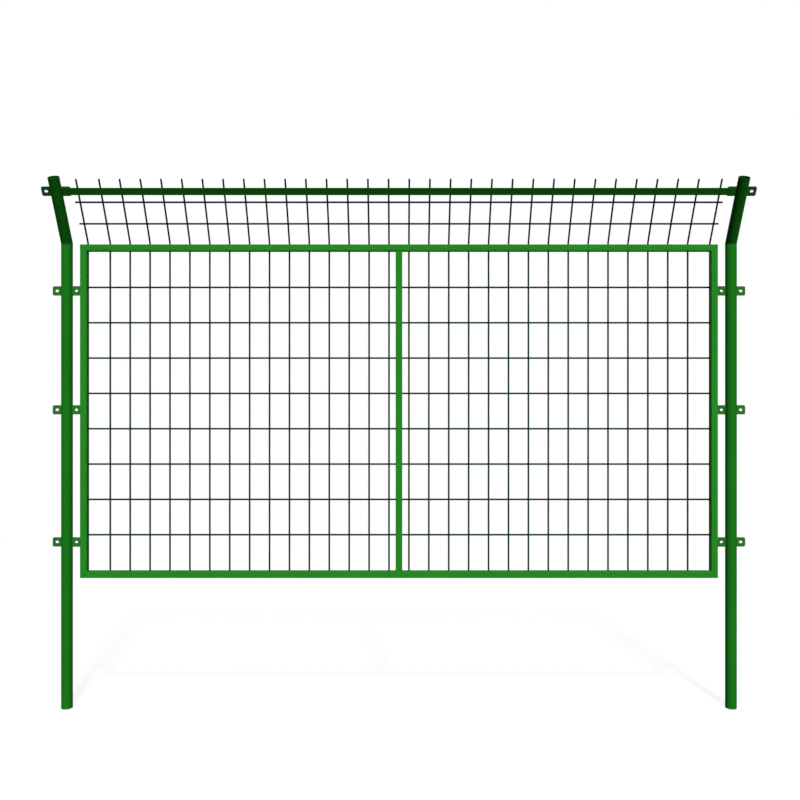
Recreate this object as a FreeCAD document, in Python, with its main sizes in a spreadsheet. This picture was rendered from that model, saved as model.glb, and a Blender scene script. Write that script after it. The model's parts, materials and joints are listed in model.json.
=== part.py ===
import FreeCAD, Part
import os

import Sketcher

# One bay of a coated steel safety fence with a top that leans forward.
# The origin is the centre of the left post's foot. +X runs to the right post, -Y is the front, +Z is up.
# "Leaned" means turned about the X direction by the lean angle, at the height of the bend.

SIZES = {
    "bay_pitch": 3000,
    "post_diameter": 50,
    "post_wall": 2.5,
    "bend_height": 2098,
    "lean": 30,
    "arm_length": 300,
    "plate_thickness": 5,
    "plate_height": 42,
    "plate_corner": 5,
    "ear_reach": 64,
    "slot_offset": 44,
    "slot_length": 16,
    "slot_width": 11,
    "lower_ear": 749,
    "middle_ear": 1346,
    "upper_ear": 1883,
    "arm_ear": 238,
    "lug_gap": 3,
    "frame_width": 2860,
    "frame_height": 1496,
    "frame_foot": 592,
    "frame_tube": 30,
    "frame_wall": 2,
    "frame_corner": 3,
    "wire_side": 5.32,
    "wire_pitch": 90,
    "inner_wires": 30,
    "edge_wire_inset": 25,
    "wire_foot": 10,
    "row_pitch": 160,
    "rows": 8,
    "cross_wire_low": 88,
    "cross_wire_high": 186,
    "wire_tip": 292,
    "bar_height": 32,
    "bar_thickness": 4,
    "cut_margin": 60,
}

MIDDLE = "sizes.bay_pitch / 2"
LAP_PLANE = "-sizes.plate_thickness / 2"
POST_RADIUS = "sizes.post_diameter / 2"
LUG_TIP = f"{POST_RADIUS} + sizes.lug_gap"
STILE_SIDE = "(sizes.bay_pitch - sizes.frame_width) / 2"
TUBE_DEPTH = f"{LAP_PLANE} - sizes.frame_tube / 2"
MITRE_RISE = "tan(sizes.lean / 2 * 1 deg)"

UPRIGHT = FreeCAD.Rotation()
TURNED = FreeCAD.Rotation(FreeCAD.Vector(0, 0, 1), 180)

doc = FreeCAD.newDocument("fence_bay")
sheet = doc.addObject("Spreadsheet::Sheet", "sizes")
for row, (alias, size) in enumerate(SIZES.items(), start=1):
    sheet.set(f"A{row}", alias)
    sheet.set(f"B{row}", str(size))
    sheet.setAlias(f"B{row}", alias)
doc.recompute()

LEANED = FreeCAD.Rotation(FreeCAD.Vector(1, 0, 0), sheet.lean)
HALF_LEANED = FreeCAD.Rotation(FreeCAD.Vector(1, 0, 0), sheet.lean / 2)

subparts = []


def number(rule):
    """The present value of a sizing rule."""
    return float(doc.sizes.evalExpression(rule))


def place(piece, x, y, z, rotation=UPRIGHT):
    """Puts a piece at a point given by rules."""
    piece.Placement = FreeCAD.Placement(FreeCAD.Vector(), rotation)
    for axis, rule in zip("xyz", (x, y, z)):
        piece.setExpression(f"Placement.Base.{axis}", rule)


def new_body(label):
    """A body that is one sub-part of the fence."""
    body = doc.addObject("PartDesign::Body", label)
    body.Label = label
    subparts.append(body)
    return body


def new_sketch(body, plane, name):
    """A sketch on one of the body's own origin planes."""
    sketch = body.newObject("Sketcher::SketchObject", name)
    origin_plane = [f for f in body.Origin.OriginFeatures if f.Role == plane]
    sketch.AttachmentSupport = (origin_plane[0], [""])
    sketch.MapMode = "FlatFace"
    return sketch


def drive(sketch, constraint, rule):
    """Adds a dimension and ties it to a rule."""
    index = sketch.addConstraint(constraint)
    sketch.setExpression(f"Constraints[{index}]", rule)


def pin_point(sketch, curve, end, x, y):
    """Holds a point of a sketch at the coordinates that two rules give."""
    drive(sketch, Sketcher.Constraint("DistanceX", -1, 1, curve, end, number(x)), x)
    drive(sketch, Sketcher.Constraint("DistanceY", -1, 1, curve, end, number(y)), y)


def draw_outline(sketch, corners):
    """A closed straight-sided outline whose corners are pairs of rules."""
    points = [FreeCAD.Vector(number(x), number(y)) for x, y in corners]
    first = sketch.GeometryCount
    count = len(points)
    for i in range(count):
        sketch.addGeometry(Part.LineSegment(points[i], points[(i + 1) % count]))
    for i in range(count):
        after = first + (i + 1) % count
        sketch.addConstraint(Sketcher.Constraint("Coincident", first + i, 2, after, 1))
        pin_point(sketch, first + i, 1, *corners[i])


def draw_circle(sketch, radius):
    """A circle about the sketch's origin."""
    curve = sketch.addGeometry(Part.Circle(FreeCAD.Vector(), FreeCAD.Vector(0, 0, 1), number(radius)))
    sketch.addConstraint(Sketcher.Constraint("Coincident", curve, 3, -1, 1))
    drive(sketch, Sketcher.Constraint("Radius", curve, number(radius)), radius)


def draw_slot(sketch, centre, length, width):
    """A level slot with round ends, on the sketch's first axis."""
    radius = number(f"{width} / 2")
    run = number(f"({length} - {width}) / 2")
    up = FreeCAD.Vector(0, 0, 1)
    quarter = 1.5707963267948966
    left = FreeCAD.Vector(number(centre) - run, 0)
    right = FreeCAD.Vector(number(centre) + run, 0)
    rise = FreeCAD.Vector(0, radius)
    sketch.addGeometry(Part.ArcOfCircle(Part.Circle(left, up, radius), quarter, 3 * quarter))
    sketch.addGeometry(Part.ArcOfCircle(Part.Circle(right, up, radius), -quarter, quarter))
    sketch.addGeometry(Part.LineSegment(left - rise, right - rise))
    sketch.addGeometry(Part.LineSegment(right + rise, left + rise))
    for arc, arc_end, line, line_end in ((0, 2, 2, 1), (1, 1, 2, 2), (1, 2, 3, 1), (0, 1, 3, 2)):
        sketch.addConstraint(Sketcher.Constraint("Tangent", arc, arc_end, line, line_end))
    sketch.addConstraint(Sketcher.Constraint("PointOnObject", 0, 3, -1))
    sketch.addConstraint(Sketcher.Constraint("PointOnObject", 1, 3, -1))
    drive(sketch, Sketcher.Constraint("Radius", 0, radius), f"{width} / 2")
    for arc, side in ((0, "-"), (1, "+")):
        place_x = f"{centre} {side} ({length} - {width}) / 2"
        drive(sketch, Sketcher.Constraint("DistanceX", -1, 1, arc, 3, number(place_x)), place_x)


def pad(body, sketch, length, both_ways=False):
    """Pushes a sketch out into a solid."""
    feature = body.newObject("PartDesign::Pad", f"{sketch.Name}_pad")
    feature.Profile = sketch
    feature.SideType = "Symmetric" if both_ways else "One side"
    feature.setExpression("Length", length)
    doc.recompute()
    return feature


def pocket(body, sketch):
    """Cuts a sketch through the body both ways from its plane."""
    before = body.Shape.Volume
    feature = body.newObject("PartDesign::Pocket", f"{sketch.Name}_pocket")
    feature.Profile = sketch
    feature.SideType = "Symmetric"
    feature.Type = "ThroughAll"
    doc.recompute()
    if not body.Shape.Volume < before:
        raise RuntimeError(f"{sketch.Name} cut nothing")


def dress_edges(body, base, kind, size_name, size, chosen):
    """Rounds or clips the straight edges of a feature that a test of their two ends picks."""
    names = []
    for i, edge in enumerate(base.Shape.Edges, start=1):
        ends = [vertex.Point for vertex in edge.Vertexes]
        if len(ends) == 2 and chosen(*ends):
            names.append(f"Edge{i}")
    dressed = body.newObject(f"PartDesign::{kind}", f"{base.Name}_{kind.lower()}")
    dressed.Base = (base, names)
    dressed.setExpression(size_name, size)
    doc.recompute()


def post_tube(label, length, mitre_height, slope):
    """A round tube standing on its foot, cut at a mitre. The slope's sign says which end is cut."""
    body = new_body(label)
    ring = new_sketch(body, "XY_Plane", f"{label}_ring")
    draw_circle(ring, POST_RADIUS)
    draw_circle(ring, f"{POST_RADIUS} - sizes.post_wall")
    pad(body, ring, length)
    mitre = new_sketch(body, "YZ_Plane", f"{label}_mitre")
    half = "sizes.post_diameter"
    beyond = f"{slope} sizes.cut_margin"
    draw_outline(mitre, (
        (f"-{half}", f"{mitre_height} - {half} * {slope} {MITRE_RISE}"),
        (half, f"{mitre_height} + {half} * {slope} {MITRE_RISE}"),
        (half, f"{mitre_height} {beyond}"),
        (f"-{half}", f"{mitre_height} {beyond}"),
    ))
    pocket(body, mitre)
    return body


def square_tube(label, length, mitred):
    """A square tube along its own Z, with its mitres opening towards its own +X."""
    body = new_body(label)
    ring = new_sketch(body, "XY_Plane", f"{label}_ring")
    for half in ("sizes.frame_tube / 2", "(sizes.frame_tube / 2 - sizes.frame_wall)"):
        draw_outline(ring, (
            (f"-{half}", f"-{half}"), (half, f"-{half}"), (half, half), (f"-{half}", half),
        ))
    walls = pad(body, ring, length)
    within = number("sizes.frame_tube / 2 - sizes.frame_wall / 2")
    dress_edges(
        body, walls, "Fillet", "Radius", "sizes.frame_corner",
        lambda a, b: abs(a.z - b.z) > 1 and abs(a.x) > within and abs(a.y) > within)
    if mitred:
        half = "sizes.frame_tube / 2"
        spare = "sizes.frame_tube"
        for end, height, sign in (("foot", "0", "+"), ("head", length, "-")):
            mitre = new_sketch(body, "XZ_Plane", f"{label}_{end}_mitre")
            draw_outline(mitre, (
                (f"-{half} - {spare}", f"{height} {sign} -{spare}"),
                (f"{half} + {spare}", f"{height} {sign} (sizes.frame_tube + {spare})"),
                (f"{half} + {spare}", f"{height} {sign} -{spare}"),
            ))
            pocket(body, mitre)
    return body


def plate(label, root, tip, slotted, seated):
    """A plate in its own XZ plane with a clipped tip, slotted and seated on the post if asked."""
    body = new_body(label)
    half = "sizes.plate_height / 2"
    outline = new_sketch(body, "XZ_Plane", f"{label}_outline")
    draw_outline(outline, ((root, f"-{half}"), (tip, f"-{half}"), (tip, half), (root, half)))
    blank = pad(body, outline, "sizes.plate_thickness", both_ways=True)
    tip_x = number(tip)
    dress_edges(
        body, blank, "Chamfer", "Size", "sizes.plate_corner",
        lambda a, b: abs(a.x - tip_x) < 0.1 and abs(a.y - b.y) > 1)
    if slotted:
        slot = new_sketch(body, "XZ_Plane", f"{label}_slot")
        draw_slot(slot, "sizes.slot_offset", "sizes.slot_length", "sizes.slot_width")
        pocket(body, slot)
    if seated:
        seat = new_sketch(body, "XY_Plane", f"{label}_seat")
        draw_circle(seat, POST_RADIUS)
        pocket(body, seat)
    return body


def bar(name, size, corner, parent_bars):
    """One straight bar of the mesh, from its low corner."""
    box = doc.addObject("Part::Box", name)
    for property_name, rule in zip(("Length", "Width", "Height"), size):
        box.setExpression(property_name, rule)
    place(box, *corner)
    parent_bars.append(box)


def upright_places():
    """Rules for the middle of every upright wire, from left to right."""
    places = [f"{STILE_SIDE} + sizes.edge_wire_inset"]
    count = int(sheet.inner_wires)
    for i in range(count):
        places.append(f"{MIDDLE} + ({i} - (sizes.inner_wires - 1) / 2) * sizes.wire_pitch")
    places.append(f"sizes.bay_pitch - {STILE_SIDE} - sizes.edge_wire_inset")
    return places


def row_places():
    """Rules for the height of every level wire of the panel, from the bottom up."""
    centre = "sizes.frame_foot + sizes.frame_height / 2"
    count = int(sheet.rows)
    return [f"{centre} + ({i} - (sizes.rows - 1) / 2) * sizes.row_pitch" for i in range(count)]


def mesh(label, foot, head, rows, cut_corner, cut_rotation, bend_place):
    """Upright and level bars welded where they cross, cut off on the mitre plane of the bend."""
    side = "sizes.wire_side"
    bars = []
    for i, middle in enumerate(upright_places()):
        corner = (f"{middle} - {side} / 2", LAP_PLANE, foot)
        bar(f"{label}_upright_{i}", (side, side, f"{head} - ({foot})"), corner, bars)
    for i, height in enumerate(rows):
        behind = f"{LAP_PLANE} + {side}"
        corner = (STILE_SIDE, behind, f"{height} - {side} / 2")
        bar(f"{label}_row_{i}", ("sizes.frame_width", side, side), corner, bars)
    welded = doc.addObject("Part::MultiFuse", f"{label}_welded")
    welded.Shapes = bars
    beyond = doc.addObject("Part::Box", f"{label}_beyond_bend")
    beyond.setExpression("Length", "sizes.bay_pitch")
    beyond.setExpression("Width", "2 * sizes.cut_margin")
    beyond.setExpression("Height", "sizes.cut_margin")
    place(beyond, *cut_corner, cut_rotation)
    cut = doc.addObject("Part::Cut", label)
    cut.Label = label
    cut.Base = welded
    cut.Tool = beyond
    if bend_place:
        place(cut, *bend_place)
    subparts.append(cut)
    return cut


def leaned_point(depth, along):
    """Rules for the Y and Z of a point given by its depth and its distance along the lean."""
    angle = "sizes.lean * 1 deg"
    y = f"({depth}) * cos({angle}) - ({along}) * sin({angle})"
    z = f"sizes.bend_height + ({depth}) * sin({angle}) + ({along}) * cos({angle})"
    return y, z


def make_posts():
    """Each post is a straight tube with a leaned arm mitred on top."""
    for side, x in (("left", "0"), ("right", "sizes.bay_pitch")):
        spare = "sizes.cut_margin"
        straight = post_tube(f"{side}_post", f"sizes.bend_height + {spare} / 2", "sizes.bend_height", "+")
        place(straight, x, "0", "0")
        arm = post_tube(f"{side}_arm", f"sizes.arm_length + {spare} / 2", f"{spare} / 2", "-")
        foot_y, foot_z = leaned_point("0", f"-{spare} / 2")
        place(arm, x, foot_y, foot_z, LEANED)


def make_ears():
    """Ears on both sides of each post, at three heights and on the arm. The bar's own ears have no slot."""
    root = f"{POST_RADIUS} - sizes.plate_thickness"
    for side, x in (("left", "0"), ("right", "sizes.bay_pitch")):
        for way in ("outer", "inner"):
            turn = UPRIGHT if (side == "left") == (way == "inner") else TURNED
            for level in ("lower", "middle", "upper"):
                ear = plate(f"{side}_{way}_{level}_ear", root, "sizes.ear_reach", True, True)
                place(ear, x, "0", f"sizes.{level}_ear", turn)
            ear = plate(f"{side}_{way}_arm_ear", root, "sizes.ear_reach", way == "outer", True)
            place(ear, x, *leaned_point("0", "sizes.arm_ear"), LEANED.multiply(turn))


def make_lugs():
    """Lugs on the outer sides of the stiles, each lapping the front of an inner ear."""
    y = f"{LAP_PLANE} - sizes.plate_thickness / 2"
    for side, x, turn in (("left", "0", UPRIGHT), ("right", "sizes.bay_pitch", TURNED)):
        for level in ("lower", "middle", "upper"):
            lug = plate(f"{side}_{level}_lug", STILE_SIDE, LUG_TIP, True, False)
            place(lug, x, y, f"sizes.{level}_ear", turn)


def make_frame():
    """A mitred frame of square tube with one mullion, its back on the lap plane."""
    half = "sizes.frame_tube / 2"
    far_side = f"sizes.bay_pitch - {STILE_SIDE}"
    left_stile = square_tube("left_stile", "sizes.frame_height", True)
    place(left_stile, f"{STILE_SIDE} + {half}", TUBE_DEPTH, "sizes.frame_foot")
    right_stile = square_tube("right_stile", "sizes.frame_height", True)
    place(right_stile, f"{far_side} - {half}", TUBE_DEPTH, "sizes.frame_foot", TURNED)
    along_x = FreeCAD.Vector(1, 0, 0)
    up = FreeCAD.Vector(0, 0, 1)
    mitres_up = FreeCAD.Rotation(up, FreeCAD.Vector(0, -1, 0), along_x, "ZXY")
    mitres_down = FreeCAD.Rotation(-up, FreeCAD.Vector(0, 1, 0), along_x, "ZXY")
    bottom_rail = square_tube("bottom_rail", "sizes.frame_width", True)
    place(bottom_rail, STILE_SIDE, TUBE_DEPTH, f"sizes.frame_foot + {half}", mitres_up)
    top_rail = square_tube("top_rail", "sizes.frame_width", True)
    top = f"sizes.frame_foot + sizes.frame_height - {half}"
    place(top_rail, STILE_SIDE, TUBE_DEPTH, top, mitres_down)
    mullion = square_tube("mullion", "sizes.frame_height - 2 * sizes.frame_tube", False)
    place(mullion, MIDDLE, TUBE_DEPTH, "sizes.frame_foot + sizes.frame_tube")


def make_mesh():
    """The mesh behind the frame and its leaned top, which meet on the mitre plane of the bend."""
    spare = "sizes.cut_margin / 2"
    half_angle = "sizes.lean / 2 * 1 deg"
    mesh(
        "mesh_panel",
        "sizes.frame_foot + sizes.wire_foot", f"sizes.bend_height + {spare}", row_places(),
        ("0", f"-sizes.cut_margin * cos({half_angle})",
         f"sizes.bend_height - sizes.cut_margin * sin({half_angle})"),
        HALF_LEANED, None)
    mesh(
        "mesh_overhang",
        f"-{spare}", "sizes.wire_tip", ("sizes.cross_wire_low", "sizes.cross_wire_high"),
        ("0", f"-sizes.cut_margin * cos({half_angle}) - sizes.cut_margin * sin({half_angle})",
         f"sizes.cut_margin * sin({half_angle}) - sizes.cut_margin * cos({half_angle})"),
        HALF_LEANED.inverted(), ("0", "0", "sizes.bend_height"))
    doc.mesh_overhang.Placement.Rotation = LEANED


def make_overhang_bar():
    """A flat bar across the leaned wires, from arm ear to arm ear, on the front of both."""
    flat = doc.addObject("Part::Box", "overhang_bar")
    flat.Label = "overhang_bar"
    flat.setExpression("Length", f"sizes.bay_pitch - 2 * ({LUG_TIP})")
    flat.setExpression("Width", "sizes.bar_thickness")
    flat.setExpression("Height", "sizes.bar_height")
    y, z = leaned_point(f"{LAP_PLANE} - sizes.bar_thickness", "sizes.arm_ear - sizes.bar_height / 2")
    place(flat, LUG_TIP, y, z, LEANED)
    subparts.append(flat)


def check_and_export():
    """Stops on any failed or invalid piece, then writes one file for each sub-part."""
    doc.recompute()
    failed = [obj.Name for obj in doc.Objects if {"Invalid", "Error"} & set(obj.State)]
    if failed:
        raise RuntimeError(f"failed objects: {failed}")
    for piece in subparts:
        if piece.Shape.isNull() or not piece.Shape.isValid() or len(piece.Shape.Solids) != 1:
            raise RuntimeError(f"{piece.Label} is not one sound solid")
    os.makedirs("parts", exist_ok=True)
    for piece in subparts:
        piece.Shape.exportStep(f"parts/{piece.Label}.step")
    print(len(subparts), "sub-parts written")


make_posts()
make_ears()
make_lugs()
make_frame()
make_mesh()
make_overhang_bar()
check_and_export()
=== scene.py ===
import json
import math
import random

import bmesh
import bpy
from mathutils import Matrix, Vector


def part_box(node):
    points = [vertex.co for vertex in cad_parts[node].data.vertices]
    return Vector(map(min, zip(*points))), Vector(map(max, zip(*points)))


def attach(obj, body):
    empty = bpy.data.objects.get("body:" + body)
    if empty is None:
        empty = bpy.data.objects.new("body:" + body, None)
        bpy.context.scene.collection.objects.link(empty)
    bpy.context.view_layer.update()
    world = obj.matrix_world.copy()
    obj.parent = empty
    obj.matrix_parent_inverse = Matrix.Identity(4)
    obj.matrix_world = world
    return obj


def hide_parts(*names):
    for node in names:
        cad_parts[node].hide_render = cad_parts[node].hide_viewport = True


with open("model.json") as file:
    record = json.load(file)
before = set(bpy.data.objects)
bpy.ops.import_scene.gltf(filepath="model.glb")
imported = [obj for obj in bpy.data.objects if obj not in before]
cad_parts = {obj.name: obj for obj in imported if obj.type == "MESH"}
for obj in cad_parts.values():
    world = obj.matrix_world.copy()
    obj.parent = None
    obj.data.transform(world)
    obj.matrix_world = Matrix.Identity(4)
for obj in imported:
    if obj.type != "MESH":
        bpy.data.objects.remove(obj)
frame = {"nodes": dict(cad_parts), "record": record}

# One bay of a green coated mesh fence. Lengths are metres, in the frame of the solids:
# +X runs from the left post to the right one, -Y is the front, +Z is up.

for start_up in ("Cube", "Light", "Camera"):
    if start_up in bpy.data.objects:
        bpy.data.objects.remove(bpy.data.objects[start_up])
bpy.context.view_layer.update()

nodes = frame["nodes"]
rng = random.Random(7)

# Posts, and the arms that lean to the front

LEAN = math.radians(30)
post_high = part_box("left_post")[1]
right_post_low, right_post_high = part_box("right_post")
POST_RADIUS = post_high.x
POST_WALL = 0.0025
BAY_PITCH = (right_post_low.x + right_post_high.x) / 2
POST_PLACES = {"left": 0.0, "right": BAY_PITCH}
BEND_HEIGHT = post_high.z - POST_RADIUS * math.tan(LEAN / 2)
ARM_LENGTH = 0.300
TUBE_SIDES = 64

# Frame of square tube. Its back is the plane where the lugs lap the ears and the wires lie.

frame_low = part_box("bottom_rail")[0]
frame_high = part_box("top_rail")[1]
FRAME_TUBE = frame_high.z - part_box("top_rail")[0].z
LAP_PLANE = frame_high.y
FRAME_FRONT = frame_low.y
FRAME_MIDDLE_Z = (frame_low.z + frame_high.z) / 2

# Wires

WIRE_RADIUS = 0.0040
WIRE_SIDES = 14
WIRE_BEND_RADIUS = 0.012
BEND_STEPS = 6
WELD_SINK = 0.0006
UPRIGHT_DEPTH = LAP_PLANE + WIRE_RADIUS
LEVEL_DEPTH = UPRIGHT_DEPTH + 2 * WIRE_RADIUS - WELD_SINK
WIRE_PITCH = 0.090
INNER_WIRES = 30
EDGE_WIRE_INSET = 0.025
ROW_PITCH = 0.160
ROWS = 8
CROSS_WIRES_ALONG = (0.088, 0.186)
WIRE_TIP_ALONG = 0.292
WIRE_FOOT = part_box("mesh_panel")[0].z

# A wire's cut end: distances from its tip, and the share of the full radius there
CUT_END = ((0.0000, 0.62), (0.0003, 0.86), (0.0010, 0.98), (0.0020, 1.0))

# Ears, lugs and the flat bar

PLATE_HALF_THICKNESS = 0.0025
PLATE_HALF_HEIGHT = 0.021
PLATE_CORNER = 0.005
EAR_REACH = 0.064
LUG_GAP = 0.003
LUG_TIP = POST_RADIUS + LUG_GAP
LUG_SINK = 0.0015
SLOT_OFFSET = 0.044
SLOT_LENGTH = 0.016
SLOT_RADIUS = 0.0055
SLOT_STEPS = 14
BAR_ALONG = 0.238
BAR_HALF_HEIGHT = 0.016
BAR_THICKNESS = 0.004
UPRIGHT_LEVELS = ("lower", "middle", "upper")

# Edges rounded by the coating, in shares of the rounding: how far down from the face, and how far in
EDGE_ROUND = 0.0008
ROUNDING = ((0.0, 1.0), (0.3, 0.3), (1.0, 0.0))
CREASE = math.radians(15)

# Welds, tacks and the coating in the corners of crossings

BEAD_SIDES = 8
RIPPLE_PITCH = 0.0024
RINGS_PER_RIPPLE = 3
FEWEST_RIPPLES = 3
RIPPLE_LOW = 0.88
RIPPLE_RISE = 0.12
RIPPLE_UNEVENNESS = 0.04
BEAD_END_SHARE = 0.45
BEAD_END_GROWTH = 12

EAR_BEAD = 0.0023
FRAME_BEAD = 0.0022
BAR_BEAD = 0.0020
PLATE_BEAD_MARGIN = 0.001
CORNER_BEAD_MARGIN = 0.004
SEAM_HALF_WIDTH = 0.0024
POST_SEAM_HEIGHT = 0.0003
FRAME_SEAM_HEIGHT = 0.0004
FRAME_SEAM_START = 0.1
FRAME_SEAM_END = 0.92

CROSSING_HALF = (0.0051, 0.0026, 0.0051)
LEANED_CROSSING_HALF = (0.0051, 0.0030, 0.0051)
CROSSING_UNEVENNESS = 0.05

TACK_HALF = (0.0032, 0.0028, 0.0055)
TACK_SIDE = 0.0032
TACK_PROUD = 0.0004
TACK_DRIFT = 0.002
STILE_TACK_DRIFT = 0.01
TACK_UNEVENNESS = 0.10


# Shapes shared by the pieces


def leaned(x, depth, along):
    """A point on the leaning top, from its depth behind the lean plane and its distance above the bend."""
    y = depth * math.cos(LEAN) - along * math.sin(LEAN)
    z = BEND_HEIGHT + depth * math.sin(LEAN) + along * math.cos(LEAN)
    return Vector((x, y, z))


def finish_piece(name, bm, material, replaced=(), creased=False):
    """Turns a mesh under work into a smooth piece of the fence, with its sharper edges creased if asked."""
    bmesh.ops.recalc_face_normals(bm, faces=bm.faces)
    if creased:
        for edge in bm.edges:
            if edge.calc_face_angle(0) > CREASE:
                edge.smooth = False
    mesh = bpy.data.meshes.new(name)
    bm.to_mesh(mesh)
    bm.free()
    for face in mesh.polygons:
        face.use_smooth = True
    mesh.materials.append(material)
    piece = bpy.data.objects.new(name, mesh)
    bpy.context.scene.collection.objects.link(piece)
    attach(piece, "root")
    if replaced:
        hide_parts(*replaced)


def skin_rings(bm, rings, closed=False):
    """Joins rings of vertices into a tube, with flat ends unless it runs round into itself."""
    count = len(rings[0])
    pairs = list(zip(rings, rings[1:]))
    if closed:
        pairs.append((rings[-1], rings[0]))
    for first, second in pairs:
        for i in range(count):
            j = (i + 1) % count
            bm.faces.new((first[i], first[j], second[j], second[i]))
    if not closed:
        bm.faces.new(reversed(rings[0]))
        bm.faces.new(rings[-1])


def turns_round(sides):
    """Even turns round a circle, in radians."""
    return [2 * math.pi * i / sides for i in range(sides)]


def ring(bm, centre, side, rise, sides):
    """A ring of vertices on the ellipse that two half axes span."""
    return [bm.verts.new(centre + side * math.cos(t) + rise * math.sin(t)) for t in turns_round(sides)]


def inset(outline, distance):
    """A convex outline, drawn anticlockwise, moved inwards all round."""
    moved = []
    for i, point in enumerate(outline):
        before = (point - outline[i - 1]).normalized()
        after = (outline[(i + 1) % len(outline)] - point).normalized()
        inward = Vector((-before.y - after.y, before.x + after.x))
        moved.append(point + inward * distance / (1 + before.dot(after)))
    return moved


def rounded_plate(bm, place, outline, half_thickness, hole=None):
    """A plate in its own XZ plane, its edges rounded by the coating, with a hole if asked."""
    levels = [(-half_thickness + deep * EDGE_ROUND, back * EDGE_ROUND) for deep, back in ROUNDING]
    levels += [(-y, back) for y, back in reversed(levels)]
    rims = []
    for sides, way in ((outline, 1), (hole, -1)):
        if sides is None:
            continue
        loops = []
        for y, back in levels:
            points = inset(sides, way * back)
            loops.append([bm.verts.new(place @ Vector((point.x, y, point.y))) for point in points])
        for first, second in zip(loops, loops[1:]):
            for i in range(len(first)):
                bm.faces.new((first[i - 1], first[i], second[i], second[i - 1]))
        rims.append((loops[0], loops[-1]))
    for face_rims in zip(*rims):
        border = [bm.edges.get((rim[i - 1], rim[i])) for rim in face_rims for i in range(len(rim))]
        bmesh.ops.triangle_fill(bm, use_beauty=True, edges=border)


def wire(bm, path, across):
    """A round wire along a path, with the coating drawn round its cut ends."""
    first_way = (path[1] - path[0]).normalized()
    last_way = (path[-2] - path[-1]).normalized()
    stations = [(path[0] + first_way * step, share) for step, share in CUT_END]
    stations += [(point, 1.0) for point in path[1:-1]]
    stations += [(path[-1] + last_way * step, share) for step, share in reversed(CUT_END)]
    rings = []
    for i, (point, share) in enumerate(stations):
        before = stations[max(i - 1, 0)][0]
        after = stations[min(i + 1, len(stations) - 1)][0]
        rise = (after - before).normalized().cross(across)
        rings.append(ring(bm, point, across * WIRE_RADIUS * share, rise * WIRE_RADIUS * share, WIRE_SIDES))
    skin_rings(bm, rings)


def bead(bm, point_at, outward_at, length, half_width, height, closed=False):
    """A rippled weld bead. Its line and its outward direction are functions of a share from 0 to 1."""
    ripples = max(FEWEST_RIPPLES, round(length / RIPPLE_PITCH))
    count = ripples * RINGS_PER_RIPPLE
    nudge = 0.5 / count
    rings = []
    for i in range(count if closed else count + 1):
        share = i / count
        ahead, behind = share + nudge, share - nudge
        if not closed:
            ahead, behind = min(ahead, 1.0), max(behind, 0.0)
        way = (point_at(ahead) - point_at(behind)).normalized()
        outward = outward_at(share).normalized()
        climb = (i % RINGS_PER_RIPPLE) / (RINGS_PER_RIPPLE - 1)
        swell = RIPPLE_LOW + RIPPLE_RISE * climb + rng.uniform(-RIPPLE_UNEVENNESS, RIPPLE_UNEVENNESS)
        if not closed:
            swell *= min(1.0, BEAD_END_SHARE + BEAD_END_GROWTH * min(share, 1 - share))
        side = way.cross(outward) * half_width * swell
        rings.append(ring(bm, point_at(share), side, outward * height * swell, BEAD_SIDES))
    skin_rings(bm, rings, closed)


def straight_bead(bm, start, end, outward, half_width, height=None):
    """A weld bead on a straight line, as high as half its width unless a height is given."""
    bead(
        bm, lambda share: start.lerp(end, share), lambda share: outward,
        (end - start).length, half_width, half_width if height is None else height)


def lump(bm, centre, half_sizes, unevenness):
    """A small rounded lump of weld or coating."""
    made = bmesh.ops.create_icosphere(bm, subdivisions=2, radius=1.0)
    for vert in made["verts"]:
        swell = 1 + rng.uniform(-unevenness, unevenness)
        vert.co = centre + Vector(a * b * swell for a, b in zip(vert.co, half_sizes))


# Finishes

# The posts' green is darker than the frame's: painted shade for the dark flanks of the round posts.
POST_GREEN = (0.011, 0.168, 0.010, 1)
FRAME_GREEN = (0.018, 0.236, 0.016, 1)
PLATE_GREEN = (0.024, 0.155, 0.026, 1)
# Darker green for edges and inner corners: partly a thin coating on the edges, partly painted shade in the
# corners.
THIN_COAT_AND_SHADE_GREEN = (0.006, 0.085, 0.008, 1)
# Painted shade: the darker green of upward faces, standing in for how the light falls on them.
TOP_SHADE_GREEN = (0.006, 0.066, 0.006, 1)
WIRE_GREEN = (0.006, 0.038, 0.009, 1)
# The wires' darker green for edges and inner corners: partly thin coating, partly painted shade.
WIRE_THIN_COAT_AND_SHADE_GREEN = (0.004, 0.018, 0.005, 1)

NOISE_MIDDLE = 0.5
EVEN = (1, 1, 1)
CLOUDS = {"stretch": (1, 1, 0.35), "scale": 5.0, "detail": 3.0}
SPECKS = {"stretch": EVEN, "scale": 90.0, "detail": 2.0}
RUNS = {"stretch": (1, 1, 0.05), "scale": 70.0, "detail": 2.0}
PEEL_DETAIL = 1.0
CLOUD_SHARE, SPECK_SHARE = 0.7, 0.3
PEEL_SHARE, RUN_SHARE = 0.35, 0.65
GLOSS_SWING = 0.18

# The darker edges and inner corners: how far from an edge, how strong, and how broken up; partly thin
# coating, partly painted shade.
THIN_AND_SHADE_REACH = 0.0016
THIN_AND_SHADE_STRENGTH = 0.5
THIN_AND_SHADE_GAIN = 4.0
THIN_AND_SHADE_BREAKS = {"stretch": EVEN, "scale": 160.0, "detail": 3.0}
THIN_AND_SHADE_LEAST = 0.35
BEVEL_SAMPLES = 4

# Painted shade on upward faces: its strength, which faces it covers, its patches, and how much rougher it
# makes them.
TOP_SHADE_STRENGTH = 0.85
TOP_SHADE_FROM, TOP_SHADE_FULL = 0.6, 0.95
TOP_SHADE_PATCHES = {"stretch": EVEN, "scale": 25.0, "detail": 3.0}
TOP_SHADE_UNEVENNESS = 0.4
TOP_SHADE_LEAST = 0.8
TOP_SHADE_MATTNESS = 0.5

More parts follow.
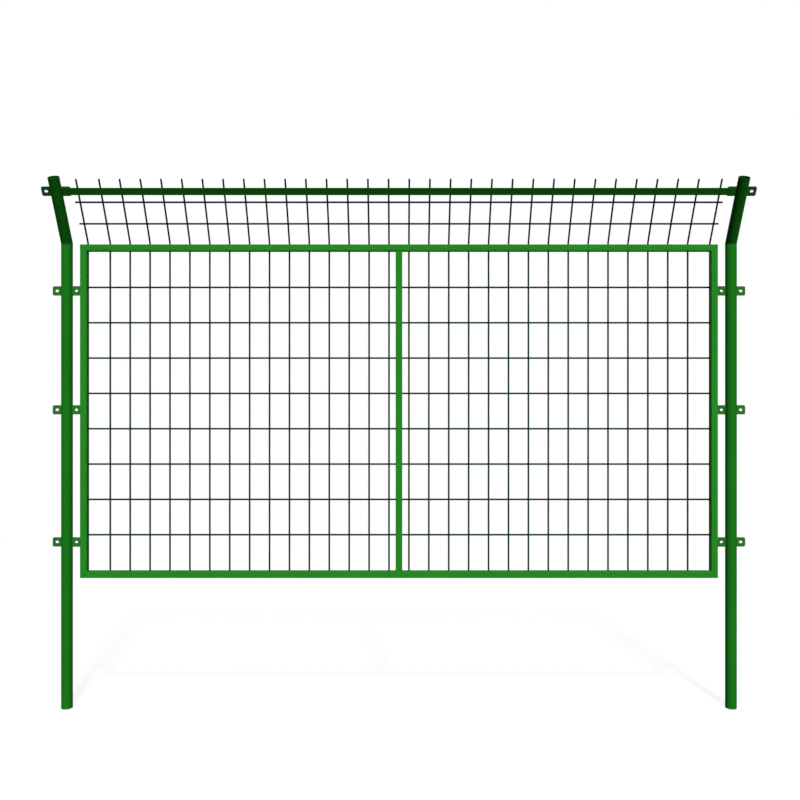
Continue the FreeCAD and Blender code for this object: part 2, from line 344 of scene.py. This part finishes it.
ROUGHNESS = 0.46
PLATE_ROUGHNESS = 0.50
PEEL_STRENGTH = 0.35
PEEL_HEIGHT = 0.001
SPECULAR_LEVEL = 0.01


def add_node(tree, kind, values=None, **settings):
    """A node with its settings, and its inputs set to numbers or linked to other nodes' outputs."""
    made = tree.nodes.new(kind)
    for key, value in settings.items():
        setattr(made, key, value)
    for key, value in (values or {}).items():
        if isinstance(value, bpy.types.NodeSocket):
            tree.links.new(value, made.inputs[key])
        else:
            made.inputs[key].default_value = value
    return made


def calc(tree, operation, first, second, clamp=False):
    """One step of arithmetic."""
    values = {0: first, 1: second}
    return add_node(tree, "ShaderNodeMath", values, operation=operation, use_clamp=clamp).outputs[0]


def weigh(tree, first, first_share, second, second_share):
    """Two values added up, each by its share."""
    one = calc(tree, "MULTIPLY", first, first_share)
    other = calc(tree, "MULTIPLY", second, second_share)
    return calc(tree, "ADD", one, other)


def blend(tree, mask, colour, masked_colour):
    """One colour, and another where a mask is full."""
    values = {"Factor": mask, "A": colour, "B": masked_colour}
    return add_node(tree, "ShaderNodeMix", values, data_type="RGBA").outputs["Result"]


def object_place(tree):
    """The object's own coordinates."""
    return add_node(tree, "ShaderNodeTexCoord").outputs["Object"]


def surface_normal(tree):
    """The direction that the surface faces."""
    return add_node(tree, "ShaderNodeNewGeometry").outputs["Normal"]


def stretched_noise(tree, place, stretch, scale, detail):
    """Noise on the object's own coordinates, drawn out along each axis."""
    mapped = add_node(tree, "ShaderNodeMapping", {"Vector": place, "Scale": stretch})
    values = {"Vector": mapped.outputs[0], "Scale": scale, "Detail": detail}
    return add_node(tree, "ShaderNodeTexNoise", values).outputs["Fac"]


def new_group(name, inputs, outputs):
    """An empty node group with its named sockets."""
    tree = bpy.data.node_groups.new(name, "ShaderNodeTree")
    for label, kind, value in inputs:
        socket = tree.interface.new_socket(label, in_out="INPUT", socket_type=kind)
        socket.default_value = value
    for label, kind in outputs:
        tree.interface.new_socket(label, in_out="OUTPUT", socket_type=kind)
    return tree, tree.nodes.new("NodeGroupInput"), tree.nodes.new("NodeGroupOutput")


def make_coating_group():
    """Dipped plastic coating: cloudy colour, uneven gloss, orange peel and faint runs down the metal."""
    tree, given, result = new_group(
        "dipped_coating",
        (
            ("Colour", "NodeSocketColor", FRAME_GREEN),
            ("Cloudiness", "NodeSocketFloat", 0.2),
            ("Peel Scale", "NodeSocketFloat", 340.0),
            ("Roughness", "NodeSocketFloat", ROUGHNESS),
        ),
        (("Colour", "NodeSocketColor"), ("Roughness", "NodeSocketFloat"), ("Height", "NodeSocketFloat")))
    place = object_place(tree)
    clouds = stretched_noise(tree, place, **CLOUDS)
    specks = stretched_noise(tree, place, **SPECKS)
    runs = stretched_noise(tree, place, **RUNS)
    peel = stretched_noise(tree, place, EVEN, given.outputs["Peel Scale"], PEEL_DETAIL)

    mixed = weigh(tree, clouds, CLOUD_SHARE, specks, SPECK_SHARE)
    swing = calc(tree, "MULTIPLY", calc(tree, "SUBTRACT", mixed, NOISE_MIDDLE), given.outputs["Cloudiness"])
    value = calc(tree, "ADD", calc(tree, "MULTIPLY", swing, 2.0), 1.0)
    tinted = add_node(tree, "ShaderNodeHueSaturation", {"Value": value, "Color": given.outputs["Colour"]})
    tree.links.new(tinted.outputs[0], result.inputs["Colour"])

    gloss = calc(tree, "MULTIPLY", calc(tree, "SUBTRACT", clouds, NOISE_MIDDLE), GLOSS_SWING)
    tree.links.new(calc(tree, "ADD", given.outputs["Roughness"], gloss), result.inputs["Roughness"])

    height = weigh(tree, peel, PEEL_SHARE, runs, RUN_SHARE)
    tree.links.new(height, result.inputs["Height"])
    return tree


def make_edge_group():
    """A mask of the edges and inner corners, which turn darker green: a thin coating on the edges, and
    painted shade in the corners.
    """
    tree, given, result = new_group(
        "thin_edges_and_corner_shade",
        (("Reach", "NodeSocketFloat", THIN_AND_SHADE_REACH), ("Strength", "NodeSocketFloat", THIN_AND_SHADE_STRENGTH)),
        (("Mask", "NodeSocketFloat"),))
    rounded = add_node(tree, "ShaderNodeBevel", {"Radius": given.outputs["Reach"]}, samples=BEVEL_SAMPLES)
    both = {0: rounded.outputs[0], 1: surface_normal(tree)}
    agree = add_node(tree, "ShaderNodeVectorMath", both, operation="DOT_PRODUCT").outputs["Value"]
    turned = calc(tree, "MULTIPLY", calc(tree, "SUBTRACT", 1.0, agree), THIN_AND_SHADE_GAIN, clamp=True)
    broken = stretched_noise(tree, object_place(tree), **THIN_AND_SHADE_BREAKS)
    patchy = calc(tree, "MULTIPLY", turned, calc(tree, "ADD", broken, THIN_AND_SHADE_LEAST))
    mask = calc(tree, "MULTIPLY", patchy, given.outputs["Strength"], clamp=True)
    tree.links.new(mask, result.inputs["Mask"])
    return tree


def make_top_shade_group():
    """A mask of the upward faces, which are painted darker green: painted shade on the tops."""
    tree, given, result = new_group(
        "painted_top_shade", (("Strength", "NodeSocketFloat", TOP_SHADE_STRENGTH),), (("Mask", "NodeSocketFloat"),))
    upward = add_node(tree, "ShaderNodeSeparateXYZ", {0: surface_normal(tree)}).outputs["Z"]
    span = {"Value": upward, "From Min": TOP_SHADE_FROM, "From Max": TOP_SHADE_FULL}
    facing = add_node(tree, "ShaderNodeMapRange", span, interpolation_type="SMOOTHSTEP").outputs[0]
    patches = stretched_noise(tree, object_place(tree), **TOP_SHADE_PATCHES)
    uneven = calc(tree, "ADD", calc(tree, "MULTIPLY", patches, TOP_SHADE_UNEVENNESS), TOP_SHADE_LEAST)
    upward_shade = calc(tree, "MULTIPLY", facing, uneven)
    mask = calc(tree, "MULTIPLY", upward_shade, given.outputs["Strength"], clamp=True)
    tree.links.new(mask, result.inputs["Mask"])
    return tree


coating_group = make_coating_group()
edge_group = make_edge_group()
top_shade_group = make_top_shade_group()


def coated_steel(name, colour, thin_and_shade_colour, top_shade_colour, cloudiness, peel_scale, roughness=ROUGHNESS):
    """Steel under a dipped plastic coating, thin at the edges, with painted shade in inner corners and on
    upward faces.
    """
    material = bpy.data.materials.new(name)
    material.use_nodes = True
    tree = material.node_tree
    shader = tree.nodes["Principled BSDF"]
    look = {"Colour": colour, "Cloudiness": cloudiness, "Peel Scale": peel_scale, "Roughness": roughness}
    coating = add_node(tree, "ShaderNodeGroup", look, node_tree=coating_group).outputs
    thin_and_shade = add_node(tree, "ShaderNodeGroup", node_tree=edge_group).outputs["Mask"]
    top_shade = add_node(tree, "ShaderNodeGroup", node_tree=top_shade_group).outputs["Mask"]

    # Edges and inner corners turn darker green: thin coating on the edges, painted shade in the corners.
    coated = blend(tree, thin_and_shade, coating["Colour"], thin_and_shade_colour)
    # Upward faces are painted darker green, as painted shade, and made rougher.
    tree.links.new(blend(tree, top_shade, coated, top_shade_colour), shader.inputs["Base Color"])

    matt = calc(tree, "MULTIPLY", top_shade, TOP_SHADE_MATTNESS)
    tree.links.new(calc(tree, "ADD", coating["Roughness"], matt, clamp=True), shader.inputs["Roughness"])

    relief = {"Height": coating["Height"], "Strength": PEEL_STRENGTH, "Distance": PEEL_HEIGHT}
    raised = add_node(tree, "ShaderNodeBump", relief)
    tree.links.new(raised.outputs[0], shader.inputs["Normal"])
    shader.inputs["Specular IOR Level"].default_value = SPECULAR_LEVEL
    return material


finishes = {
    "post_coating": coated_steel(
        "post_coating_dipped", POST_GREEN, THIN_COAT_AND_SHADE_GREEN, TOP_SHADE_GREEN,
        cloudiness=0.20, peel_scale=300.0),
    "frame_coating": coated_steel(
        "frame_coating_dipped", FRAME_GREEN, THIN_COAT_AND_SHADE_GREEN, TOP_SHADE_GREEN,
        cloudiness=0.22, peel_scale=340.0),
    # The wires take their darkest green for edges, inner corners and the painted shade on upward faces.
    "mesh_coating": coated_steel(
        "wire_coating_dipped", WIRE_GREEN, WIRE_THIN_COAT_AND_SHADE_GREEN, WIRE_THIN_COAT_AND_SHADE_GREEN,
        cloudiness=0.30, peel_scale=500.0),
}

plate_finish = coated_steel(
    "plate_coating_dipped", PLATE_GREEN, THIN_COAT_AND_SHADE_GREEN, TOP_SHADE_GREEN,
    cloudiness=0.30, peel_scale=360.0, roughness=PLATE_ROUGHNESS)

for row in frame["record"]["subparts"]:
    nodes[row["node"]].material_slots[0].material = finishes[row["material_slot"]]


# Wires


def upright_places():
    """The X of every upright wire, from left to right."""
    middle = BAY_PITCH / 2
    inner = [middle + (i - (INNER_WIRES - 1) / 2) * WIRE_PITCH for i in range(INNER_WIRES)]
    return [frame_low.x + EDGE_WIRE_INSET, *inner, frame_high.x - EDGE_WIRE_INSET]


def row_heights():
    """The Z of every level wire of the panel, from the bottom up."""
    return [FRAME_MIDDLE_Z + (i - (ROWS - 1) / 2) * ROW_PITCH for i in range(ROWS)]


def upright_path(x):
    """Up behind the frame, round the bend above the top rail and along the lean to the tip."""
    bend = leaned(x, UPRIGHT_DEPTH, -UPRIGHT_DEPTH * math.tan(LEAN / 2))
    tangent = WIRE_BEND_RADIUS * math.tan(LEAN / 2)
    points = [Vector((x, UPRIGHT_DEPTH, WIRE_FOOT))]
    for i in range(BEND_STEPS + 1):
        turn = LEAN * i / BEND_STEPS
        forward = WIRE_BEND_RADIUS * (1 - math.cos(turn))
        up = WIRE_BEND_RADIUS * math.sin(turn)
        points.append(Vector((x, bend.y - forward, bend.z - tangent + up)))
    points.append(leaned(x, UPRIGHT_DEPTH, WIRE_TIP_ALONG))
    return points


def make_wire_piece(name, paths, across, replaced):
    """One piece of many wires."""
    bm = bmesh.new()
    for path in paths:
        wire(bm, path, across)
    finish_piece(name, bm, finishes["mesh_coating"], replaced)


def make_wires():
    """Upright wires in front, level wires behind them, and the cross wires of the leaning top."""
    ends = (frame_low.x, frame_high.x)
    uprights = [upright_path(x) for x in upright_places()]
    levels = [[Vector((x, LEVEL_DEPTH, z)) for x in ends] for z in row_heights()]
    crosses = [[leaned(x, LEVEL_DEPTH, along) for x in ends] for along in CROSS_WIRES_ALONG]
    make_wire_piece("upright_wires", uprights, Vector((1, 0, 0)), ("mesh_panel", "mesh_overhang"))
    make_wire_piece("level_wires", levels, Vector((0, 1, 0)), ("mesh_panel",))
    make_wire_piece("overhang_cross_wires", crosses, Vector((0, 1, 0)), ("mesh_overhang",))


def make_crossing_welds():
    """The coating drawn into the corners of every welded crossing."""
    depth = (UPRIGHT_DEPTH + LEVEL_DEPTH) / 2
    bm = bmesh.new()
    for x in upright_places():
        for z in row_heights():
            lump(bm, Vector((x, depth, z)), CROSSING_HALF, CROSSING_UNEVENNESS)
        for along in CROSS_WIRES_ALONG:
            lump(bm, leaned(x, depth, along), LEANED_CROSSING_HALF, CROSSING_UNEVENNESS)
    finish_piece("crossing_welds", bm, finishes["mesh_coating"])


# Tubes and plates


def post_rings(bm, x):
    """The rings of one post and its arm, up the outside, over the open end and down the inside."""
    outer, inner = POST_RADIUS, POST_RADIUS - POST_WALL
    turns = turns_round(TUBE_SIDES)

    def upright_ring(radius, height):
        return [bm.verts.new((x + radius * math.cos(t), radius * math.sin(t), height)) for t in turns]

    def mitre_ring(radius):
        rise = radius * math.tan(LEAN / 2)
        return [
            bm.verts.new((x + radius * math.cos(t), radius * math.sin(t), BEND_HEIGHT + rise * math.sin(t)))
            for t in turns]

    def arm_ring(radius, along):
        return [bm.verts.new(leaned(x + radius * math.cos(t), radius * math.sin(t), along)) for t in turns]

    steps = [(deep * EDGE_ROUND, back * EDGE_ROUND) for deep, back in ROUNDING]
    rings = [upright_ring(outer - back, deep) for deep, back in steps]
    rings.append(mitre_ring(outer))
    rings += [arm_ring(outer - back, ARM_LENGTH - deep) for deep, back in reversed(steps)]
    rings += [arm_ring(inner + back, ARM_LENGTH - deep) for deep, back in steps]
    rings.append(mitre_ring(inner))
    rings += [upright_ring(inner + back, deep) for deep, back in reversed(steps)]
    return rings


def make_post_tubes():
    """Each post and its arm as one skin, creased at the mitre."""
    bm = bmesh.new()
    for x in POST_PLACES.values():
        rings = post_rings(bm, x)
        skin_rings(bm, rings, closed=True)
        for mitre in (rings[len(ROUNDING)], rings[-1 - len(ROUNDING)]):
            for i in range(TUBE_SIDES):
                bm.edges.get((mitre[i - 1], mitre[i])).smooth = False
    replaced = [f"{side}_{part}" for side in POST_PLACES for part in ("post", "arm")]
    finish_piece("post_tubes", bm, finishes["post_coating"], replaced, creased=True)


def ear_places():
    """Each ear's side, way and level, and a matrix whose X points along the ear, away from the post."""
    on_arm = Matrix.Rotation(LEAN, 4, "X") @ Matrix.Translation((0, 0, BAR_ALONG))
    for side, x in POST_PLACES.items():
        for way in ("outer", "inner"):
            turn = Matrix.Rotation(0 if (side == "left") == (way == "inner") else math.pi, 4, "Z")
            for level in UPRIGHT_LEVELS:
                low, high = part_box(f"{side}_{way}_{level}_ear")
                yield side, way, level, Matrix.Translation((x, 0, (low.z + high.z) / 2)) @ turn
            yield side, way, "arm", Matrix.Translation((x, 0, BEND_HEIGHT)) @ on_arm @ turn


def plate_outline(root, tip):
    """A plate's outline, anticlockwise from its root, with the corners of its tip clipped."""
    high = PLATE_HALF_HEIGHT
    clip = math.copysign(PLATE_CORNER, tip - root)
    points = [
        (root, -high), (tip - clip, -high), (tip, PLATE_CORNER - high),
        (tip, high - PLATE_CORNER), (tip - clip, high), (root, high)]
    if tip < root:
        points.reverse()
    return [Vector(point) for point in points]


def slot_outline():
    """The level slot of an ear or a lug, anticlockwise."""
    run = SLOT_LENGTH / 2 - SLOT_RADIUS
    points = []
    for end in (1, -1):
        for i in range(SLOT_STEPS + 1):
            turn = math.pi * i / SLOT_STEPS - math.pi / 2
            along = SLOT_OFFSET + end * (run + SLOT_RADIUS * math.cos(turn))
            points.append(Vector((along, end * SLOT_RADIUS * math.sin(turn))))
    return points


def make_ears():
    """The ears on the posts. Those under the ends of the bar have no slot."""
    outline = plate_outline(POST_RADIUS - POST_WALL / 2, EAR_REACH)
    bm = bmesh.new()
    replaced = []
    for side, way, level, place in ear_places():
        plain = way == "inner" and level == "arm"
        rounded_plate(bm, place, outline, PLATE_HALF_THICKNESS, None if plain else slot_outline())
        replaced.append(f"{side}_{way}_{level}_ear")
    finish_piece("ear_plates", bm, plate_finish, replaced, creased=True)


def make_lugs():
    """The lugs on the stiles, in front of the inner ears."""
    outline = plate_outline(frame_low.x + LUG_SINK, LUG_TIP)
    in_front = Matrix.Translation((0, LAP_PLANE - PLATE_HALF_THICKNESS, 0))
    bm = bmesh.new()
    replaced = []
    for side, way, level, place in ear_places():
        if way == "inner" and level in UPRIGHT_LEVELS:
            rounded_plate(bm, in_front @ place, outline, PLATE_HALF_THICKNESS, slot_outline())
            replaced.append(f"{side}_{level}_lug")
    finish_piece("lug_plates", bm, plate_finish, replaced, creased=True)


def make_flat_bar():
    """The flat bar across the leaning wires, from arm to arm."""
    first, last, high = LUG_TIP, BAY_PITCH - LUG_TIP, BAR_HALF_HEIGHT
    outline = [Vector(point) for point in ((first, -high), (last, -high), (last, high), (first, high))]
    place = Matrix.Translation((0, 0, BEND_HEIGHT)) @ Matrix.Rotation(LEAN, 4, "X")
    place = place @ Matrix.Translation((0, LAP_PLANE - BAR_THICKNESS / 2, BAR_ALONG))
    bm = bmesh.new()
    rounded_plate(bm, place, outline, BAR_THICKNESS / 2)
    finish_piece("flat_bar", bm, finishes["post_coating"], ("overhang_bar",), creased=True)


# Welds


def weld_post_mitre(bm, x):
    """A seam round the mitre of one post."""
    def on_mitre(share):
        turn = 2 * math.pi * share
        y = POST_RADIUS * math.sin(turn)
        return Vector((x + POST_RADIUS * math.cos(turn), y, BEND_HEIGHT + y * math.tan(LEAN / 2)))

    def off_tube(share):
        turn = 2 * math.pi * share
        return Vector((math.cos(turn), math.sin(turn), 0))

    round_tube = 2 * math.pi * POST_RADIUS
    bead(bm, on_mitre, off_tube, round_tube, SEAM_HALF_WIDTH, POST_SEAM_HEIGHT, closed=True)


def make_post_welds():
    """Beads down both faces of every ear, and a seam round the mitre of each post."""
    seat = math.sqrt(POST_RADIUS ** 2 - PLATE_HALF_THICKNESS ** 2)
    run = PLATE_HALF_HEIGHT - PLATE_BEAD_MARGIN
    bm = bmesh.new()
    for *_, place in ear_places():
        for face in (-1, 1):
            start = place @ Vector((seat, face * PLATE_HALF_THICKNESS, -run))
            end = place @ Vector((seat, face * PLATE_HALF_THICKNESS, run))
            outward = place.to_3x3() @ Vector((1, face, 0))
            straight_bead(bm, start, end, outward, EAR_BEAD)
    for x in POST_PLACES.values():
        weld_post_mitre(bm, x)
    finish_piece("post_weld_beads", bm, finishes["post_coating"])


def weld_inner_corner(bm, x, z, outward):
    """A bead from front to back in an inner corner of the frame."""
    start = Vector((x, FRAME_FRONT + CORNER_BEAD_MARGIN, z))
    end = Vector((x, LAP_PLANE - CORNER_BEAD_MARGIN, z))
    straight_bead(bm, start, end, outward, FRAME_BEAD)


def weld_frame_corners(bm):
    """Seams on the front and back of the frame's mitres, and a bead inside each corner."""
    for x_out, x_in in ((frame_low.x, FRAME_TUBE), (frame_high.x, -FRAME_TUBE)):
        for z_out, z_in in ((frame_low.z, FRAME_TUBE), (frame_high.z, -FRAME_TUBE)):
            for y, outward in ((FRAME_FRONT, Vector((0, -1, 0))), (LAP_PLANE, Vector((0, 1, 0)))):
                start, end = (
                    Vector((x_out + share * x_in, y, z_out + share * z_in))
                    for share in (FRAME_SEAM_START, FRAME_SEAM_END))
                straight_bead(bm, start, end, outward, SEAM_HALF_WIDTH, FRAME_SEAM_HEIGHT)
            toward = Vector((math.copysign(1, x_in), 0, math.copysign(1, z_in)))
            weld_inner_corner(bm, x_out + x_in, z_out + z_in, toward)


def weld_mullion(bm):
    """Beads on both sides of the mullion's ends."""
    low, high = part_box("mullion")
    for z, way in ((low.z, 1), (high.z, -1)):
        for x, side in ((low.x, -1), (high.x, 1)):
            weld_inner_corner(bm, x, z, Vector((side, 0, way)))


def weld_lugs(bm, side, stile_face, way):
    """Beads on both faces of the lugs of one stile."""
    for level in UPRIGHT_LEVELS:
        low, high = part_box(f"{side}_{level}_lug")
        for y, face in ((low.y, -1), (high.y, 1)):
            start = Vector((stile_face, y, low.z + PLATE_BEAD_MARGIN))
            end = Vector((stile_face, y, high.z - PLATE_BEAD_MARGIN))
            straight_bead(bm, start, end, Vector((way, face, 0)), FRAME_BEAD)


def weld_bar_end(bm, side, way):
    """Beads along the lower edge and down the end of the bar, where it lies on an arm's ear."""
    ear_low, ear_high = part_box(f"{side}_inner_arm_ear")
    bar_low, bar_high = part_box("overhang_bar")
    first, last = (bar_low.x, ear_high.x) if side == "left" else (bar_high.x, ear_low.x)
    low_edge, high_edge = BAR_ALONG - BAR_HALF_HEIGHT, BAR_ALONG + BAR_HALF_HEIGHT
    corner = leaned(first, LAP_PLANE, low_edge)
    bend = leaned(0, 0, 0)
    straight_bead(bm, corner, leaned(last, LAP_PLANE, low_edge), leaned(0, -1, -1) - bend, BAR_BEAD)
    straight_bead(bm, corner, leaned(first, LAP_PLANE, high_edge), leaned(way, -1, 0) - bend, BAR_BEAD)


def make_frame_welds():
    """The welds of the frame, the lugs and the bar."""
    bm = bmesh.new()
    weld_frame_corners(bm)
    weld_mullion(bm)
    for side, stile_face, way in (("left", frame_low.x, -1), ("right", frame_high.x, 1)):
        weld_lugs(bm, side, stile_face, way)
        weld_bar_end(bm, side, way)
    finish_piece("frame_weld_beads", bm, finishes["frame_coating"])


def make_wire_tacks():
    """Tacks that hold the upright wires on the rails, the stiles and the bar."""
    depth = LAP_PLANE + TACK_PROUD
    rail_heights = (frame_low.z + FRAME_TUBE / 2, frame_high.z - FRAME_TUBE / 2)
    places, heights = upright_places(), row_heights()
    bm = bmesh.new()
    for x in places:
        for side in (-1, 1):
            beside = x + side * TACK_SIDE
            for z in rail_heights:
                drift = rng.uniform(-TACK_DRIFT, TACK_DRIFT)
                lump(bm, Vector((beside, depth, z + drift)), TACK_HALF, TACK_UNEVENNESS)
            drift = rng.uniform(-TACK_DRIFT, TACK_DRIFT)
            lump(bm, leaned(beside, depth, BAR_ALONG + drift), TACK_HALF, TACK_UNEVENNESS)
    for x, side in ((places[0], -1), (places[-1], 1)):
        for low, high in zip(heights, heights[1:]):
            drift = rng.uniform(-STILE_TACK_DRIFT, STILE_TACK_DRIFT)
            middle = Vector((x + side * TACK_SIDE, depth, (low + high) / 2 + drift))
            lump(bm, middle, TACK_HALF, TACK_UNEVENNESS)
    finish_piece("wire_tacks", bm, finishes["mesh_coating"])


make_wires()
make_crossing_welds()
make_post_tubes()
make_ears()
make_lugs()
make_flat_bar()
make_post_welds()
make_frame_welds()
make_wire_tacks()


# Stage

WHITE = (1, 1, 1, 1)
FLOOR_HALF_SIZE = 60.0
FLOOR_BOUNCE = (0.04, 0.04, 0.04, 1)
FLOOR_PAPER = (0.9, 0.9, 0.9, 1)
SHADOW_FADE_START, SHADOW_FADE_END = 1.5, 6.0
GLOW_SHARE_NEAR = 0.90
FILL_STRENGTH = 0.015

LAMP_AIM = (BAY_PITCH / 2, 0, 1.2)
LAMP_DISTANCE = 8

CAMERA_PLACE = (1.50467, -3.80877, 1.39014)
CAMERA_SENSOR = 36.0
CAMERA_LENS = 37.93
CAMERA_FAR = 200.0


def seen_directly(tree):
    """A factor of 1 for what the camera sees, straight or by reflection, and 0 for light on the object."""
    path = add_node(tree, "ShaderNodeLightPath")
    either = calc(tree, "MAXIMUM", path.outputs["Is Camera Ray"], path.outputs["Is Glossy Ray"])
    return calc(tree, "MAXIMUM", either, path.outputs["Is Transmission Ray"])


def mix_shaders(tree, factor, first, second):
    """One shader, and another where a factor is full."""
    return add_node(tree, "ShaderNodeMixShader", {0: factor, 1: first, 2: second}).outputs[0]


def make_floor():
    """A wide pale floor that shows as white and keeps a faint shadow."""
    bm = bmesh.new()
    bmesh.ops.create_grid(bm, x_segments=2, y_segments=2, size=FLOOR_HALF_SIZE)
    mesh = bpy.data.meshes.new("floor")
    bm.to_mesh(mesh)
    bm.free()
    material = bpy.data.materials.new("floor_paper")
    material.use_nodes = True
    tree = material.node_tree
    tree.nodes.clear()
    dim = add_node(tree, "ShaderNodeBsdfDiffuse", {"Color": FLOOR_BOUNCE}).outputs[0]
    pale = add_node(tree, "ShaderNodeBsdfDiffuse", {"Color": FLOOR_PAPER}).outputs[0]
    glow = add_node(tree, "ShaderNodeEmission", {"Color": WHITE, "Strength": 1.0}).outputs[0]
    from_middle = {0: object_place(tree), 1: (BAY_PITCH / 2, 0, 0)}
    away = add_node(tree, "ShaderNodeVectorMath", from_middle, operation="DISTANCE").outputs["Value"]
    fade = {
        "Value": away, "From Min": SHADOW_FADE_START, "From Max": SHADOW_FADE_END,
        "To Min": GLOW_SHARE_NEAR, "To Max": 1.0}
    share = add_node(tree, "ShaderNodeMapRange", fade, interpolation_type="SMOOTHSTEP").outputs[0]
    shown = mix_shaders(tree, share, pale, glow)
    both = mix_shaders(tree, seen_directly(tree), dim, shown)
    add_node(tree, "ShaderNodeOutputMaterial", {"Surface": both})
    mesh.materials.append(material)
    floor = bpy.data.objects.new("floor", mesh)
    bpy.context.scene.collection.objects.link(floor)


def make_world():
    """A white surround for the eye and for reflections, and a dim one as fill light."""
    world = bpy.data.worlds.new("studio")
    bpy.context.scene.world = world
    world.use_nodes = True
    tree = world.node_tree
    tree.nodes.clear()
    fill = add_node(tree, "ShaderNodeBackground", {"Color": WHITE, "Strength": FILL_STRENGTH}).outputs[0]
    white = add_node(tree, "ShaderNodeBackground", {"Color": WHITE, "Strength": 1.0}).outputs[0]
    both = mix_shaders(tree, seen_directly(tree), fill, white)
    add_node(tree, "ShaderNodeOutputWorld", {"Surface": both})


def soft_light(name, azimuth, elevation, strength, softness):
    """A soft light from far off, by its angles right of the front and above level, in degrees."""
    lamp = bpy.data.lights.new(name, "SUN")
    lamp.energy = strength
    lamp.angle = math.radians(softness)
    holder = bpy.data.objects.new(name, lamp)
    turn, rise = math.radians(azimuth), math.radians(elevation)
    toward = Vector((math.sin(turn) * math.cos(rise), -math.cos(turn) * math.cos(rise), math.sin(rise)))
    holder.location = Vector(LAMP_AIM) + LAMP_DISTANCE * toward
    holder.rotation_euler = toward.to_track_quat("Z", "Y").to_euler()
    bpy.context.scene.collection.objects.link(holder)


def make_camera():
    """A level camera in front of the middle of the bay."""
    lens = bpy.data.cameras.new("camera")
    lens.sensor_width = CAMERA_SENSOR
    lens.lens = CAMERA_LENS
    lens.clip_end = CAMERA_FAR
    camera = bpy.data.objects.new("camera", lens)
    camera.location = CAMERA_PLACE
    camera.rotation_euler = (math.radians(90), 0, 0)
    bpy.context.scene.collection.objects.link(camera)
    bpy.context.scene.camera = camera


make_floor()
make_world()
soft_light("key", azimuth=8, elevation=51, strength=4.9, softness=6)
soft_light("back", azimuth=180, elevation=22, strength=1.8, softness=15)
make_camera()
bpy.context.scene.view_settings.view_transform = "Standard"
